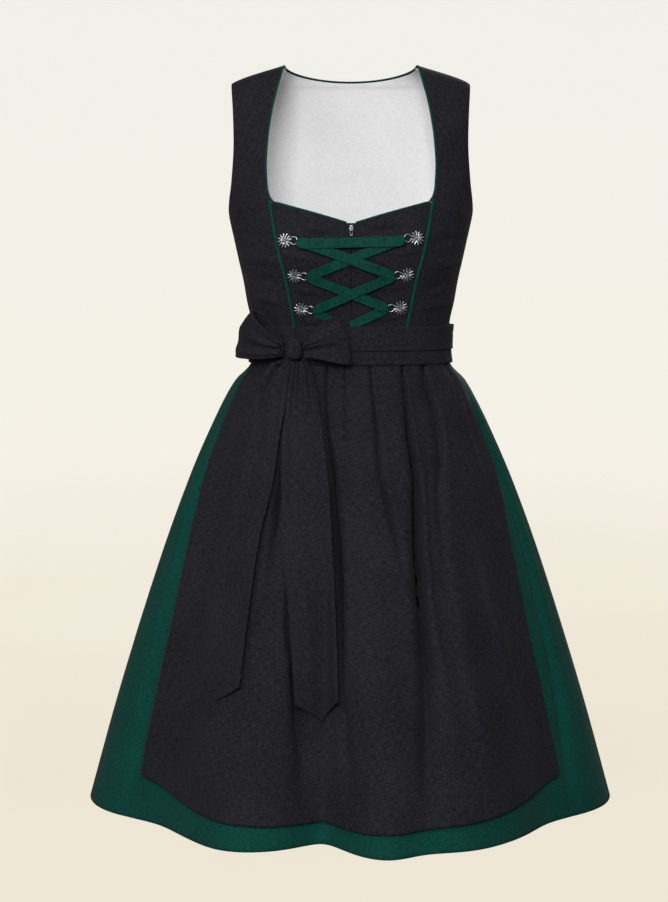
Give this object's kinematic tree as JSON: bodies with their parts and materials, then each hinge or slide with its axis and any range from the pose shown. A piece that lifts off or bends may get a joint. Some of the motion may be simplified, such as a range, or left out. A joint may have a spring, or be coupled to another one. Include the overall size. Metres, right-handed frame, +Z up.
{
  "type": "dirndl dress with apron",
  "caption": "Sleeveless dirndl dress with a laced bodice, a full skirt and an apron tied in a bow.",
  "frame": {"origin": "midway between the two shoulder seams, where the straps lie on the wearer's shoulders", "axes": "+Z up, the front faces -Y, +X is the wearer's left"},
  "size_m": [0.7224, 0.6829, 1.0029],
  "materials": {
    "black_weave": "matte",
    "green_cotton": "matte",
    "green_ribbon": "satin",
    "pale_lining": "matte",
    "zip_tape": "matte",
    "silver_metal": "aged silver plating"
  },
  "bodies": {
    "dress": {"apron": "black_weave", "apron_waistband": "black_weave", "bodice_back": "black_weave", "bodice_back_lining": "pale_lining", "bodice_front_left": "black_weave", "bodice_front_right": "black_weave", "bodice_side_front_left": "black_weave", "bodice_side_front_right": "black_weave", "bow_knot": "black_weave", "bow_loop_left": "black_weave", "bow_loop_right": "black_weave", "hook_left_bottom": "silver_metal", "hook_left_middle": "silver_metal", "hook_left_top": "silver_metal", "hook_right_bottom": "silver_metal", "hook_right_middle": "silver_metal", "hook_right_top": "silver_metal", "lace_end_left": "green_ribbon", "lace_end_right": "green_ribbon", "lace_lower_over": "green_ribbon", "lace_lower_under": "green_ribbon", "lace_top": "green_ribbon", "lace_upper_over": "green_ribbon", "lace_upper_under": "green_ribbon", "piping_neck_back": "green_cotton", "piping_neck_left": "green_cotton", "piping_neck_right": "green_cotton", "piping_seam_left": "green_cotton", "piping_seam_right": "green_cotton", "skirt_back": "green_cotton", "skirt_front": "green_cotton", "tie_round_waist": "black_weave", "tie_tail_left": "black_weave", "tie_tail_right": "black_weave", "zip_slider": "silver_metal", "zip_tape": "zip_tape"},
    "pull_tab": {"zip_pull_tab": "silver_metal"}
  },
  "joints": [
    {"name": "pull_tab_hinge", "type": "hinge", "parent": "dress", "child": "pull_tab", "pos_m": [0, -0.12474, -0.2113], "axis": [-1, 0, 0], "range_deg": [0, 150]}
  ]
}
